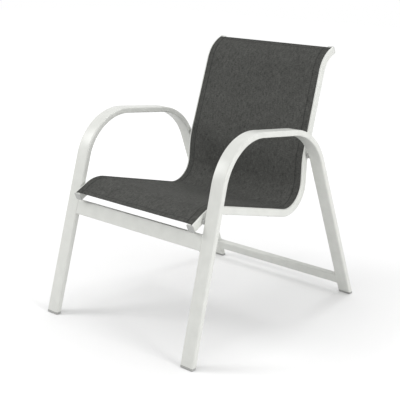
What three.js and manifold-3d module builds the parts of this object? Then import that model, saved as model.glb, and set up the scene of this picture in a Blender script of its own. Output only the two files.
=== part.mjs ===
// Stacking armchair: two bent tube side frames, two cross rails, and a taut sling between two shaped rails.
// Millimetres and degrees. +Z is up, the chair faces -Y and +X is the sitter's left.
// The origin is on the floor, in the middle of the chair's width and depth.
import * as THREE from "three";
import { mergeVertices } from "three/addons/utils/BufferGeometryUtils.js";
import Module from "manifold-3d";

const wasm = await Module();
wasm.setup();

// Side frames, each one flat tube bent in a plane that leans inwards as it rises
const footWidth = 610;
const footSpan = 833;
const frameLean = 1.2;
const tubeWide = 46;
const tubeThick = 18;
const tubeCorner = 4.6;
const tubeWall = 1.6;
const frontLegLean = 13.2;
const armCornerHeight = 634.5;
const armFall = 4.9;
const rearLegRake = 24.6;
const frontBendRadius = 164;
const rearBendRadius = 185;

// Cross rails, welded between the legs
const frontCrossHeight = 340;
const frontCrossDeep = 46;
const rearCrossHeight = 53.5;
const rearCrossDeep = 37;
const crossThick = 18;
const crossWall = 1.6;
const weldLeg = 4;
const weldProud = 0.7;

// Foot glides
const glideHeight = 7.5;
const glideRound = 3;
const glideStem = 22;

// Sling rails: the line of their top face, from the front tip to the top of the back
const railTipForward = 50;
const railTipHeight = 394;
const railTipRise = 28.4;
const seatCrestHeight = 436.3;
const seatFall = 12.5;
const backCornerForward = 573.7;
const lowerBackLean = 1.2;
const lumbarHeight = 505.4;
const backRecline = 15.1;
const headCornerHeight = 817.9;
const headRise = 25.7;
const headLength = 62;
const crestRadius = 101;
const seatBackRadius = 76;
const lumbarRadius = 198;
const headRadius = 100;

// Sling rails: their section, a keyhole channel beside and above one open chamber
const railWide = 24;
const railDeep = 24.5;
const railCorner = 4;
const railWall = 1.8;
const railGap = 10.5;
const slotInset = 8;
const slotWide = 3.4;
const boreRadius = 4.2;
const plugPlate = 2.6;
const plugStem = 9;

// Sling and its hem splines
const slingThick = 1.2;
const slingFrontMargin = 1.6;
const slingHeadMargin = 9;
const splineRadius = 2.5;

// Bars that hold the sling rails apart, bowed away from the sitter, each end on a peg in the rail's chamber
const spreaderWide = 28;
const spreaderThick = 12;
const spreaderCorner = 4;
const spreaderWall = 1.5;
const spreaderBow = 18;
const spreaderBendRadius = 60;
const spreaderFlat = 24;
const spreaderBowRun = 80;
const pegStem = 18;
const pegRadius = 4;
const pegReach = 17;
const seatSpreaderShares = [0.16, 0.8];
const backSpreaderShare = 0.62;

// Fastenings
const boltRadius = 3;
const boltHeadRadius = 5.6;
const boltHeadHeight = 3.3;
const boltHeadTopShare = 0.62;
const boltHeadShoulderShare = 0.9;
const boltHeadShoulderHeightShare = 0.6;
const boltSocketRadius = 2.3;
const boltSocketDepth = 2;
const washerRadius = 7;
const washerThick = 1.2;
const spacerRadius = 8;
const nutFlangeRadius = 6.2;
const nutFlangeThick = 1;
const nutBarrelRadius = 4.4;
const nutBarrelLength = 12;
const boltShort = 1.5;
const screwRadius = 2;
const screwHeadRadius = 4;
const screwHeadHeight = 1.4;
const screwHeadTopShare = 0.7;
const screwShort = 1.2;

// Clearances, and how finely round shapes are stepped
const touchGap = 0.3;
const cutOverrun = 1;
const onPlane = 0.03;
const bendStep = 10;
const cornerSteps = 3;
const railCornerSteps = 2;
const innerCornerSteps = 1;
const channelSteps = 7;
const splineSides = 6;
const turnedSides = 12;
const weldSteps = 3;
const glideRoundSteps = 2;
const socketSides = 6;

const radians = THREE.MathUtils.degToRad;
const clamp = THREE.MathUtils.clamp;
const at = (x, y) => new THREE.Vector2(x, y);

// Places that more than one piece shares
const lean = radians(frameLean);
const sideX = (footWidth - tubeWide) / 2;
const frameInner = tubeWide / 2;
const railOuter = frameInner + railGap;
const railInner = railOuter + railWide;
const slotX = railOuter + slotInset;
const slotHalf = slotWide / 2;
const slingUnder = touchGap;
const slingTop = slingUnder + slingThick;
const boreDepth = railWall + boreRadius;
const boreFloor = boreDepth + boreRadius;
const chamberTop = boreFloor + railWall;
const chamberFloor = railDeep - railWall;
const boltDepth = (chamberTop + chamberFloor) / 2;
const boltHole = boltRadius + touchGap;
const screwHole = screwRadius + touchGap;
const railMiddle = railOuter + railWide / 2;

// A path of straight runs and round bends in one plane, with stops at its runs' ends and round its bends.
// Its points are pairs: forward or across first, then up.
class BentPath extends THREE.Curve {
  constructor(corners, radii, toSpace) {
    super();
    this.toSpace = toSpace;
    this.stops = [];
    this.runs = [];
    let runStart = corners[0];
    corners.forEach((corner, index) => {
      const before = index > 0 ? corner.clone().sub(corners[index - 1]).normalize() : null;
      const after = index < corners.length - 1 ? corners[index + 1].clone().sub(corner).normalize() : null;
      if (!before || !after) {
        this.stops.push({ point: corner.clone(), along: before ?? after });
        if (before) this.runs.push({ start: runStart, end: corner, along: before });
        return;
      }
      const turn = Math.atan2(before.cross(after), before.dot(after));
      const radius = radii[index - 1];
      const start = corner.clone().addScaledVector(before, -radius * Math.tan(Math.abs(turn) / 2));
      const centre = start.clone().addScaledVector(leftOf(before), Math.sign(turn) * radius);
      const steps = Math.ceil(Math.abs(turn) / radians(bendStep));
      this.runs.push({ start: runStart, end: start, along: before });
      for (let step = 0; step <= steps; step += 1) {
        const angle = steps ? (turn * step) / steps : 0;
        const along = before.clone().rotateAround(at(0, 0), angle);
        this.stops.push({ point: start.clone().rotateAround(centre, angle), along });
      }
      runStart = this.stops.at(-1).point;
    });
  }

  stopAt(share) {
    return this.stops[Math.round(share * (this.stops.length - 1))];
  }

  getPoint(share, target = new THREE.Vector3()) {
    return this.toSpace(this.stopAt(share).point, target);
  }

  getPointAt(share, target) {
    return this.getPoint(share, target);
  }

  getTangentAt(share, target = new THREE.Vector3()) {
    return this.toSpace(this.stopAt(share).along, target);
  }
}

function leftOf(direction) {
  return at(-direction.y, direction.x);
}

const inSidePlane = (pair, target) => target.set(0, pair.x, pair.y);
const acrossChair = (pair, target) => target.set(pair.x, 0, pair.y);

// A point beside a stop: depth is measured from the path to its right, away from the sitter on the rails
function beside(stop, depth) {
  return stop.point.clone().addScaledVector(leftOf(stop.along), -depth);
}

// Where two lists of points cross, in the order of the first
function crossings(lineA, lineB) {
  const found = [];
  for (let a = 1; a < lineA.length; a += 1) {
    const spanA = lineA[a].clone().sub(lineA[a - 1]);
    for (let b = 1; b < lineB.length; b += 1) {
      const spanB = lineB[b].clone().sub(lineB[b - 1]);
      const between = lineB[b - 1].clone().sub(lineA[a - 1]);
      const shareA = between.cross(spanB) / spanA.cross(spanB);
      const shareB = between.cross(spanA) / spanA.cross(spanB);
      if (shareA >= 0 && shareA < 1 && shareB >= 0 && shareB < 1) {
        found.push(lineA[a - 1].clone().addScaledVector(spanA, shareA));
      }
    }
  }
  return found;
}

// Outlines and solids
function arcPoints(centre, radius, fromAngle, toAngle, steps) {
  return Array.from({ length: steps + 1 }, (_, step) => {
    const angle = radians(fromAngle + ((toAngle - fromAngle) * step) / steps);
    return at(centre.x + radius * Math.cos(angle), centre.y + radius * Math.sin(angle));
  });
}

function roundedOutline(left, right, bottom, top, radius, steps) {
  return [
    ...arcPoints(at(right - radius, top - radius), radius, 0, 90, steps),
    ...arcPoints(at(left + radius, top - radius), radius, 90, 180, steps),
    ...arcPoints(at(left + radius, bottom + radius), radius, 180, 270, steps),
    ...arcPoints(at(right - radius, bottom + radius), radius, 270, 360, steps),
  ];
}

function centredOutline(width, height, radius, steps) {
  return roundedOutline(-width / 2, width / 2, -height / 2, height / 2, radius, steps);
}

function sweep(outline, path, holes = []) {
  const section = new THREE.Shape(outline);
  section.holes = holes.map((points) => new THREE.Path(points));
  return new THREE.ExtrudeGeometry(section, { extrudePath: path, steps: path.stops.length - 1 });
}

function straightPath(start, end, toSpace = inSidePlane) {
  return new BentPath([start, end], [], toSpace);
}

function asSolid(geometry) {
  const bare = geometry.clone();
  bare.deleteAttribute("normal");
  bare.deleteAttribute("uv");
  const merged = mergeVertices(bare);
  return new wasm.Manifold(new wasm.Mesh({
    numProp: 3,
    vertProperties: merged.attributes.position.array,
    triVerts: new Uint32Array(merged.index.array),
  }));
}

function asGeometry(solid) {
  const { vertProperties, triVerts } = solid.getMesh();
  const geometry = new THREE.BufferGeometry();
  geometry.setAttribute("position", new THREE.BufferAttribute(vertProperties, 3));
  geometry.setIndex(new THREE.BufferAttribute(triVerts, 1));
  return geometry;
}

function joined(geometries) {
  return asGeometry(geometries.map(asSolid).reduce((whole, piece) => whole.add(piece)));
}

function cutBy(geometry, cutters) {
  const cut = (rest, cutter) => rest.subtract(cutter);
  return asGeometry(cutters.map(asSolid).reduce(cut, asSolid(geometry)));
}

function movePoints(geometry, move) {
  const places = geometry.attributes.position;
  const point = new THREE.Vector3();
  for (let index = 0; index < places.count; index += 1) {
    point.fromBufferAttribute(places, index);
    move(point);
    places.setXYZ(index, point.x, point.y, point.z);
  }
  return geometry;
}

function mirrored(geometry) {
  const copy = geometry.index ? geometry.toNonIndexed() : geometry.clone();
  copy.deleteAttribute("normal");
  copy.deleteAttribute("uv");
  copy.scale(-1, 1, 1);
  const places = copy.attributes.position;
  const second = new THREE.Vector3();
  const third = new THREE.Vector3();
  for (let first = 0; first < places.count; first += 3) {
    second.fromBufferAttribute(places, first + 1);
    third.fromBufferAttribute(places, first + 2);
    places.setXYZ(first + 1, third.x, third.y, third.z);
    places.setXYZ(first + 2, second.x, second.y, second.z);
  }
  return copy;
}

// A turned piece on an axis along X: each profile point is a radius and a place along X
function turnedAlongX(profile, sides = turnedSides) {
  return new THREE.LatheGeometry(profile, sides).rotateZ(-Math.PI / 2);
}

function ringProfile(innerRadius, outerRadius, from, to) {
  return [
    at(innerRadius, from),
    at(outerRadius, from),
    at(outerRadius, to),
    at(innerRadius, to),
    at(innerRadius, from),
  ];
}

function pinAlongX(radius, from, to) {
  return turnedAlongX([at(0, from), at(radius, from), at(radius, to), at(0, to)]);
}

// Side frame: the leg lines and the arm line, and the tube bent along them
const frontCorner = at(armCornerHeight * Math.tan(radians(frontLegLean)), armCornerHeight);
const armSlope = Math.tan(radians(armFall));
const rakeSlope = Math.tan(radians(rearLegRake));
const armLow = armCornerHeight - (footSpan - frontCorner.x) * armSlope;
const rearCornerHeight = armLow / (1 - rakeSlope * armSlope);
const rearCorner = at(footSpan - rearCornerHeight * rakeSlope, rearCornerHeight);
const framePath = new BentPath(
  [at(0, 0), frontCorner, rearCorner, at(footSpan, 0)],
  [frontBendRadius, rearBendRadius],
  inSidePlane,
);
const tubeOutline = centredOutline(tubeWide, tubeThick, tubeCorner, cornerSteps);
const tubeBore = centredOutline(
  tubeWide - 2 * tubeWall,
  tubeThick - 2 * tubeWall,
  tubeCorner - tubeWall,
  innerCornerSteps,
);

// Feet: where each leg meets the floor, and the way up the leg from there
const feet = [
  { name: "front", foot: at(0, 0), up: framePath.runs[0].along },
  { name: "rear", foot: at(footSpan, 0), up: framePath.runs.at(-1).along.clone().negate() },
];

function legPoint({ foot, up }, height) {
  return foot.clone().addScaledVector(up, height / up.y);
}

// Slides each ring of points round a leg's end along the leg, until it is level at its height above the floor
function levelRings(geometry, leg, rings) {
  return movePoints(geometry, (point) => {
    const across = at(point.y, point.z).sub(leg.foot);
    if (across.length() > tubeThick) return;
    const ring = rings.find(({ from }) => Math.abs(across.dot(leg.up) - from / leg.up.y) < onPlane);
    if (!ring) return;
    const short = ring.height - point.x * Math.sin(lean) - point.z * Math.cos(lean);
    const rise = short / (leg.up.y * Math.cos(lean));
    point.y += leg.up.x * rise;
    point.z += leg.up.y * rise;
  });
}

// Sling rail line
const railTip = at(railTipForward, railTipHeight);
const tipRun = (seatCrestHeight - railTip.y) / Math.tan(radians(railTipRise));
const crestCorner = at(railTip.x + tipRun, seatCrestHeight);
const seatRun = backCornerForward - crestCorner.x;
const backCorner = at(backCornerForward, seatCrestHeight - seatRun * Math.tan(radians(seatFall)));
const lumbarShift = (lumbarHeight - backCorner.y) * Math.tan(radians(lowerBackLean));
const lumbarCorner = at(backCorner.x + lumbarShift, lumbarHeight);
const headShift = (headCornerHeight - lumbarHeight) * Math.tan(radians(backRecline));
const headCorner = at(lumbarCorner.x + headShift, headCornerHeight);
const headTip = at(headLength, 0).rotateAround(at(0, 0), radians(headRise)).add(headCorner);
const railCorners = [railTip, crestCorner, backCorner, lumbarCorner, headCorner, headTip];
const railRadii = [crestRadius, seatBackRadius, lumbarRadius, headRadius];
const railPath = new BentPath(railCorners, railRadii, inSidePlane);

// The same line, stopping short of the rail's ends
function shortenedRailPath(frontMargin, headMargin) {
  const corners = [...railCorners];
  corners[0] = railTip.clone().addScaledVector(railPath.runs[0].along, frontMargin);
  corners[corners.length - 1] = headTip.clone().addScaledVector(railPath.runs.at(-1).along, -headMargin);
  return new BentPath(corners, railRadii, inSidePlane);
}

// Fixing points: where the middle of the rail's chamber passes the middle of the frame tube
const boltLine = railPath.stops.map((stop) => beside(stop, boltDepth));
const frameLine = framePath.stops.map((stop) => stop.point);
const fixingPoints = crossings(boltLine, frameLine);
const fixings = [
  { name: "front", place: fixingPoints[0] },
  { name: "rear", place: fixingPoints.at(-1) },
];

// Spreader places: a point on the rail line and the slope there
const seatLine = railPath.runs[1];
const backLine = railPath.runs[3];
const spreaderPlace = (run, share) => ({ point: run.start.clone().lerp(run.end, share), along: run.along });
const spreaders = [
  { name: "seat_spreader_front", stop: spreaderPlace(seatLine, seatSpreaderShares[0]) },
  { name: "seat_spreader_rear", stop: spreaderPlace(seatLine, seatSpreaderShares[1]) },
  { name: "back_spreader", stop: spreaderPlace(backLine, backSpreaderShare) },
];

// Pieces of one side, in its own plane: X runs from the middle of the frame tube, outwards on the left
function sideFrame() {
  const tube = sweep(tubeOutline, framePath, [tubeBore]);
  feet.forEach((leg) => levelRings(tube, leg, [{ from: 0, height: glideHeight + touchGap }]));
  const nutHoles = fixings.map(({ place }) => pinAlongX(
    nutBarrelRadius + touchGap,
    -frameInner - cutOverrun,
    -frameInner + tubeWall + cutOverrun,
  ).translate(0, place.x, place.y));
  return cutBy(tube, nutHoles);
}

// The pad's lower edge is rounded over, and its stem stands inside the leg
function footGlide(leg) {
  const round = Math.min(glideRound, glideHeight / 2);
  const roundLevel = (_, step) => {
    const angle = (step * Math.PI) / 2 / glideRoundSteps;
    return { height: round * (1 - Math.cos(angle)), inset: round * (1 - Math.sin(angle)) };
  };
  const levels = [
    ...Array.from({ length: glideRoundSteps + 1 }, roundLevel),
    { height: glideHeight, inset: 0 },
  ];
  const middles = levels.map(({ height }) => legPoint(leg, height));
  const pad = sweep(tubeOutline, new BentPath(middles, middles.slice(2).map(() => 0), inSidePlane));
  movePoints(pad, (point) => {
    const across = at(point.y, point.z).sub(leg.foot);
    const isHere = ({ height }) => Math.abs(across.dot(leg.up) - height / leg.up.y) < onPlane;
    const { height, inset } = levels.find(isHere);
    const side = across.dot(leftOf(leg.up)) * (1 - (2 * inset) / tubeThick);
    const place = legPoint(leg, height).addScaledVector(leftOf(leg.up), side);
    point.set(point.x * (1 - (2 * inset) / tubeWide), place.x, place.y);
  });
  levelRings(pad, leg, levels.map(({ height }) => ({ from: height, height })));
  const stemOutline = centredOutline(
    tubeWide - 2 * (tubeWall + touchGap),
    tubeThick - 2 * (tubeWall + touchGap),
    tubeCorner - tubeWall,
    innerCornerSteps,
  );
  const stemFoot = glideHeight / 2;
  const stemPath = straightPath(legPoint(leg, stemFoot), legPoint(leg, glideHeight + glideStem));
  const stem = levelRings(sweep(stemOutline, stemPath), leg, [{ from: stemFoot, height: stemFoot }]);
  return joined([pad, stem]);
}

function slingRail() {
  const channelTurn = THREE.MathUtils.radToDeg(Math.asin(slotHalf / boreRadius));
  const outline = [
    at(slotX - slotHalf, 0),
    ...arcPoints(at(railOuter + railCorner, -railCorner), railCorner, 90, 180, railCornerSteps),
    ...arcPoints(at(railOuter + railCorner, railCorner - railDeep), railCorner, 180, 270, railCornerSteps),
    ...arcPoints(at(railInner - railCorner, railCorner - railDeep), railCorner, 270, 360, railCornerSteps),
    ...arcPoints(at(railInner - railCorner, -railCorner), railCorner, 0, 90, railCornerSteps),
    at(slotX + slotHalf, 0),
    ...arcPoints(at(slotX, -boreDepth), boreRadius, 90 - channelTurn, channelTurn - 270, channelSteps),
  ];
  const stepX = slotX + boreRadius + railWall;
  const chamber = [
    at(railOuter + railWall, -chamberFloor),
    at(railInner - railWall, -chamberFloor),
    at(railInner - railWall, -railWall),
    at(stepX, -railWall),
    at(stepX, -chamberTop),
    at(railOuter + railWall, -chamberTop),
  ];
  const boltHoles = fixings.map(({ place }) => pinAlongX(
    boltHole,
    -railInner - cutOverrun,
    cutOverrun - railOuter,
  ).translate(0, place.x, place.y));
  const pegHoles = spreaders.map(({ stop }) => alignTo(
    pinAlongX(pegRadius + touchGap, -railInner - cutOverrun, 2 * railWall - railInner),
    stop,
    boltDepth,
  ));
  const screwHoles = spreaders.map(({ stop }) => standUnder(
    pinAlongX(screwHole, -cutOverrun, 2 * railWall),
    stop,
  ));
  return cutBy(sweep(outline, railPath, [chamber]), [...boltHoles, ...pegHoles, ...screwHoles]);
}

// Sets a piece made along X beside the rail line, turned with its slope and this deep below the rail's top
function alignTo(geometry, stop, depth) {
  const place = beside(stop, depth);
  return geometry.rotateX(Math.atan2(stop.along.y, stop.along.x)).translate(0, place.x, place.y);
}

// Stands a piece made along X upright under the rail, its zero on the underside, midway across
function standUnder(geometry, stop, x = -railMiddle) {
  return alignTo(geometry.rotateY(-Math.PI / 2).translate(x, 0, 0), stop, railDeep);
}

function railPlug(end) {
  const tip = railPath.stops.at(end.index).point;
  const outwards = railPath.stops.at(end.index).along.clone().multiplyScalar(end.way);
  const reach = (distance) => tip.clone().addScaledVector(outwards, distance);
  const towards = (from, to) => {
    const ends = [reach(from), reach(to)];
    return straightPath(...(end.way > 0 ? ends : ends.reverse()));
  };
  const plate = roundedOutline(railOuter, railInner, -railDeep, 0, railCorner, railCornerSteps);
  const stem = roundedOutline(
    railOuter + railWall + touchGap,
    railInner - railWall - touchGap,
    touchGap - chamberFloor,
    -chamberTop - touchGap,
    railWall,
    innerCornerSteps,
  );
  return joined([
    sweep(plate, towards(touchGap, touchGap + plugPlate)),
    sweep(stem, towards(-plugStem, touchGap + plugPlate / 2)),
  ]);
}

function slingSpline() {
  const outline = arcPoints(at(slotX, -boreDepth), splineRadius, 0, 360, splineSides).slice(1);
  return sweep(outline, shortenedRailPath(slingFrontMargin, slingHeadMargin));
}

const spacerFrom = railOuter - touchGap;
const spacerTo = frameInner + nutFlangeThick + 2 * touchGap;
const washerTo = railInner + touchGap + washerThick;
const headTo = washerTo + touchGap;

function railSpacer() {
  return turnedAlongX(ringProfile(boltHole, spacerRadius, -spacerFrom, -spacerTo));
}

function rivetNut() {
  const flangeTo = -frameInner - touchGap;
  return turnedAlongX([
    at(boltHole, flangeTo - nutFlangeThick),
    at(nutFlangeRadius, flangeTo - nutFlangeThick),
    at(nutFlangeRadius, flangeTo),
    at(nutBarrelRadius, flangeTo),
    at(nutBarrelRadius, flangeTo + nutBarrelLength),
    at(boltHole, flangeTo + nutBarrelLength),
    at(boltHole, flangeTo - nutFlangeThick),
  ]);
}

function railWasher() {
  return turnedAlongX(ringProfile(boltHole, washerRadius, -washerTo, washerThick - washerTo));
}

function railBolt() {
  const headTop = -headTo - boltHeadHeight;
  const blank = turnedAlongX([
    at(0, headTop),
    at(boltHeadRadius * boltHeadTopShare, headTop),
    at(boltHeadRadius * boltHeadShoulderShare, -headTo - boltHeadHeight * boltHeadShoulderHeightShare),
    at(boltHeadRadius, -headTo),
    at(boltRadius, -headTo),
    at(boltRadius, nutBarrelLength - frameInner - boltShort),
    at(0, nutBarrelLength - frameInner - boltShort),
  ]);
  const socket = turnedAlongX([
    at(0, headTop - cutOverrun),
    at(boltSocketRadius, headTop - cutOverrun),
    at(boltSocketRadius, headTop + boltSocketDepth),
    at(0, headTop + boltSocketDepth),
  ], socketSides);
  return cutBy(blank, [socket]);
}

function pegScrew(stop) {
  const tip = railDeep - boltDepth + pegRadius - screwShort;
  return standUnder(turnedAlongX([
    at(0, -touchGap - screwHeadHeight),
    at(screwHeadRadius * screwHeadTopShare, -touchGap - screwHeadHeight),
    at(screwHeadRadius, -touchGap),
    at(screwRadius, -touchGap),
    at(screwRadius, tip),
    at(0, tip),
  ]), stop);
}

// Pieces that span the chair
const gripX = sideX - railInner;

// Lets a piece that spans the chair follow the leaning rails: rigid over each rail, drawn evenly in between
function leanEnds(geometry) {
  return movePoints(geometry, (point) => {
    const reach = Math.max(Math.abs(point.x), gripX);
    const fromSide = reach - sideX;
    const leaningX = sideX + fromSide * Math.cos(lean) - point.z * Math.sin(lean);
    point.x *= leaningX / reach;
    point.z = fromSide * Math.sin(lean) + point.z * Math.cos(lean);
  });
}

function sling() {
  const hemOuter = boreRadius - touchGap;
  const hemInner = splineRadius + touchGap;
  const neckHalf = slotHalf - touchGap;
  const centreX = sideX - slotX;
  const neckTurn = THREE.MathUtils.radToDeg(Math.asin(neckHalf / hemOuter));
  const hem = (x) => arcPoints(at(x, -boreDepth), hemOuter, 90 - neckTurn, neckTurn - 270, channelSteps);
  const hemBore = (x) => arcPoints(at(x, -boreDepth), hemInner, 0, 360, splineSides).slice(1);
  const outline = [
    at(gripX, slingTop),
    at(centreX + neckHalf, slingTop),
    ...hem(centreX),
    at(centreX - neckHalf, slingUnder),
    at(gripX, slingUnder),
    at(-gripX, slingUnder),
    at(neckHalf - centreX, slingUnder),
    ...hem(-centreX),
    at(-centreX - neckHalf, slingTop),
    at(-gripX, slingTop),
  ];
  const path = shortenedRailPath(slingFrontMargin, slingHeadMargin);
  return leanEnds(sweep(outline, path, [hemBore(centreX), hemBore(-centreX)]));
}

const spreaderBore = (clearance) => centredOutline(
  spreaderThick - 2 * (spreaderWall + clearance),
  spreaderWide - 2 * (spreaderWall + clearance),
  spreaderCorner - spreaderWall,
  innerCornerSteps,
);

function spreaderBar({ stop }) {
  const endX = gripX - touchGap;
  const kneeX = gripX - spreaderFlat;
  const floorX = kneeX - spreaderBowRun;
  const corners = [
    at(-endX, 0), at(-kneeX, 0), at(-floorX, -spreaderBow),
    at(floorX, -spreaderBow), at(kneeX, 0), at(endX, 0),
  ];
  const bar = sweep(
    centredOutline(spreaderThick, spreaderWide, spreaderCorner, railCornerSteps),
    new BentPath(corners, Array(corners.length - 2).fill(spreaderBendRadius), acrossChair),
    [spreaderBore(0)],
  );
  return leanEnds(alignTo(bar, stop, boltDepth));
}

function spreaderPeg({ stop }) {
  const stem = sweep(
    spreaderBore(touchGap),
    straightPath(at(gripX - pegStem, 0), at(gripX - touchGap, 0), acrossChair),
  );
  const nose = pinAlongX(pegRadius, gripX - pegStem / 2, gripX + pegReach);
  const screwWay = pinAlongX(screwHole, 0, railDeep);
  const peg = alignTo(joined([stem, nose]), stop, boltDepth);
  return leanEnds(cutBy(peg, [standUnder(screwWay, stop, sideX - railMiddle)]));
}

// A cross rail between the legs, flared at both ends by its weld and cut to the leaning frames
function crossRail(leg, height, deep) {
  const slope = Math.atan2(leg.up.y, leg.up.x) - Math.PI / 2;
  const middle = legPoint(leg, height);
  const halfLength = sideX - frameInner - height * Math.tan(lean);
  const weldStop = (_, step) => halfLength - (weldLeg * step) / weldSteps;
  const weldStops = Array.from({ length: weldSteps + 1 }, weldStop);
  const places = [...weldStops.map((x) => -x), ...weldStops.reverse()];
  const path = new BentPath(places.map((x) => at(x, 0)), places.slice(2).map(() => 0), acrossChair);
  const body = movePoints(
    sweep(centredOutline(deep, crossThick, tubeCorner, cornerSteps), path),
    (point) => {
      const nearEnd = 1 - clamp((halfLength - Math.abs(point.x)) / weldLeg, 0, 1);
      const flare = 1 - Math.sqrt(1 - nearEnd ** 2);
      const edge = clamp((Math.abs(point.z) - deep / 2 + tubeCorner) / tubeCorner, 0, 1);
      point.y += Math.sign(point.y) * weldProud * flare;
      point.z += Math.sign(point.z) * weldLeg * flare * edge;
    },
  );
  const bore = sweep(
    centredOutline(
      deep - 2 * crossWall,
      crossThick - 2 * crossWall,
      tubeCorner - crossWall,
      innerCornerSteps,
    ),
    straightPath(at(-halfLength - weldLeg, 0), at(halfLength + weldLeg, 0), acrossChair),
  );
  const rail = cutBy(body, [bore]).rotateX(slope).translate(0, middle.x, middle.y);
  return movePoints(rail, (point) => {
    const along = (point.z + frameInner * Math.sin(lean)) / Math.cos(lean);
    const face = sideX - frameInner * Math.cos(lean) - along * Math.sin(lean) - touchGap / Math.cos(lean);
    point.x += Math.sign(point.x) * (face - halfLength);
  });
}

// Materials
function finish(color, roughness, metalness) {
  return new THREE.MeshStandardMaterial({ color, roughness, metalness });
}

const powderCoat = finish(0xe4e5e0, 0.5, 0);
const slingFabric = finish(0x4a4b49, 0.85, 0);
const whitePlastic = finish(0xd9dad6, 0.55, 0);
const greyPlastic = finish(0x9a9c98, 0.6, 0);
const clearPlastic = finish(0xcfd2cf, 0.4, 0);
const steel = finish(0xb4b7b8, 0.35, 1);

// Assembly
const chair = new THREE.Group();
const sides = [
  { name: "left", way: 1, group: new THREE.Group() },
  { name: "right", way: -1, group: new THREE.Group() },
];
sides.forEach(({ way, group }) => {
  group.position.x = way * sideX;
  group.rotation.y = -way * lean;
  chair.add(group);
});

function piece(name, geometry, material) {
  const solid = new THREE.Mesh(geometry, material);
  solid.name = name;
  return solid;
}

function addBothSides(name, geometry, material) {
  sides.forEach(({ name: side, way, group }) => {
    group.add(piece(`${name}_${side}`, way > 0 ? geometry : mirrored(geometry), material));
  });
}

addBothSides("side_frame", sideFrame(), powderCoat);
feet.forEach((leg) => addBothSides(`foot_glide_${leg.name}`, footGlide(leg), greyPlastic));
chair.add(piece("front_cross_rail", crossRail(feet[0], frontCrossHeight, frontCrossDeep), powderCoat));
chair.add(piece("rear_cross_rail", crossRail(feet[1], rearCrossHeight, rearCrossDeep), powderCoat));

addBothSides("sling_rail", slingRail(), powderCoat);
addBothSides("rail_plug_front", railPlug({ index: 0, way: -1 }), whitePlastic);
addBothSides("rail_plug_top", railPlug({ index: -1, way: 1 }), whitePlastic);
addBothSides("sling_spline", slingSpline(), clearPlastic);
chair.add(piece("sling", sling(), slingFabric));

fixings.forEach(({ name, place }) => {
  const fasten = (label, geometry, material) => {
    addBothSides(`${label}_${name}`, geometry.translate(0, place.x, place.y), material);
  };
  fasten("rail_spacer", railSpacer(), whitePlastic);
  fasten("rivet_nut", rivetNut(), steel);
  fasten("rail_washer", railWasher(), steel);
  fasten("rail_bolt", railBolt(), steel);
});

spreaders.forEach((spreader) => {
  const peg = spreaderPeg(spreader);
  chair.add(piece(spreader.name, spreaderBar(spreader), powderCoat));
  chair.add(piece(`${spreader.name}_peg_left`, peg, greyPlastic));
  chair.add(piece(`${spreader.name}_peg_right`, mirrored(peg), greyPlastic));
  addBothSides(`${spreader.name}_screw`, pegScrew(spreader.stop), steel);
});

chair.updateMatrixWorld(true);
const depth = new THREE.Box3().setFromObject(chair, true);
chair.position.y = -(depth.min.y + depth.max.y) / 2;

export default chair;
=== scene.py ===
# Stacking sling armchair: its visible pieces and finishes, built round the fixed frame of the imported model.
# Metres and degrees. +Z is up, the chair faces -Y and +X is the sitter's left.
import math

import bmesh
import bpy
from mathutils import Matrix, Vector, noise
from mathutils.geometry import tessellate_polygon


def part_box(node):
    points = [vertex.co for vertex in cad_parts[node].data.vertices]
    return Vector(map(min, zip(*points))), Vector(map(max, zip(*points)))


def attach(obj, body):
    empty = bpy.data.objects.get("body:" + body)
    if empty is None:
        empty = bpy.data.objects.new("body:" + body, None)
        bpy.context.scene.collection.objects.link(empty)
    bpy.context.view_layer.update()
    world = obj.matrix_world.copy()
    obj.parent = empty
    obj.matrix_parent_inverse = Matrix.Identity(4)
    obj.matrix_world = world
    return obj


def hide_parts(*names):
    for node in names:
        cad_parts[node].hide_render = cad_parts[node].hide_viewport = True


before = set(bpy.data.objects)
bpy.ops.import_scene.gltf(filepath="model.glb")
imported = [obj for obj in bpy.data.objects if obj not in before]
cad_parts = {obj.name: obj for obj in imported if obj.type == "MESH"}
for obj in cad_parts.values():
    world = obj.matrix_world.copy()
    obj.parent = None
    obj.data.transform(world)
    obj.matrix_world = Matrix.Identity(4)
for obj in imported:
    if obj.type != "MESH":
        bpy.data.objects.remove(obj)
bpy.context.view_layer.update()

# Camera, as the chair was seen: a long lens, from the sitter's left in front and a little above the back
CAMERA_PLACE = Vector((1.70306, -2.09057, 1.07975))
CAMERA_YAW = 39.897
CAMERA_PITCH = 15.163
CAMERA_ROLL = 2.133
CAMERA_LENS = 78.1
CAMERA_SENSOR = 36.0

# Floor, background and lamps. To the eye and in reflections, the far floor is lifted towards white.
FLOOR_REACH = 14.0
FLOOR_PALE = 0.87
FLOOR_LIFT = 0.3
FLOOR_LIFT_RUN = (0.5, 2.6)
WORLD_LIGHT = 0.813
LAMP_AIM = Vector((0, 0, 0.35))
LAMP_AWAY = 3.2

# Side frames
FOOT_WIDTH = 0.610
FOOT_SPAN = 0.833
FOOT_MIDDLE = 0.416535
FRAME_LEAN = 1.2
TUBE_WIDE = 0.046
TUBE_THICK = 0.018
TUBE_CORNER = 0.0046
TUBE_WALL = 0.0016
FRONT_LEG_LEAN = 13.2
ARM_CORNER_HEIGHT = 0.6345
ARM_FALL = 4.9
REAR_LEG_RAKE = 24.6
FRONT_BEND_RADIUS = 0.164
REAR_BEND_RADIUS = 0.185

# Cross rails and their welds
FRONT_CROSS_HEIGHT = 0.340
FRONT_CROSS_DEEP = 0.046
REAR_CROSS_HEIGHT = 0.0535
REAR_CROSS_DEEP = 0.037
CROSS_THICK = 0.018
BEAD_RADIUS = 0.0021
BEAD_RIPPLE = 0.0028
BEAD_RIPPLE_SHARE = 0.09
BEAD_PROUD = 0.0005
BEAD_SUNK = 0.0012

# Foot glides
GLIDE_HEIGHT = 0.0075
GLIDE_ROUND = 0.003
GLIDE_TOP_ROUND = 0.0004

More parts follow.
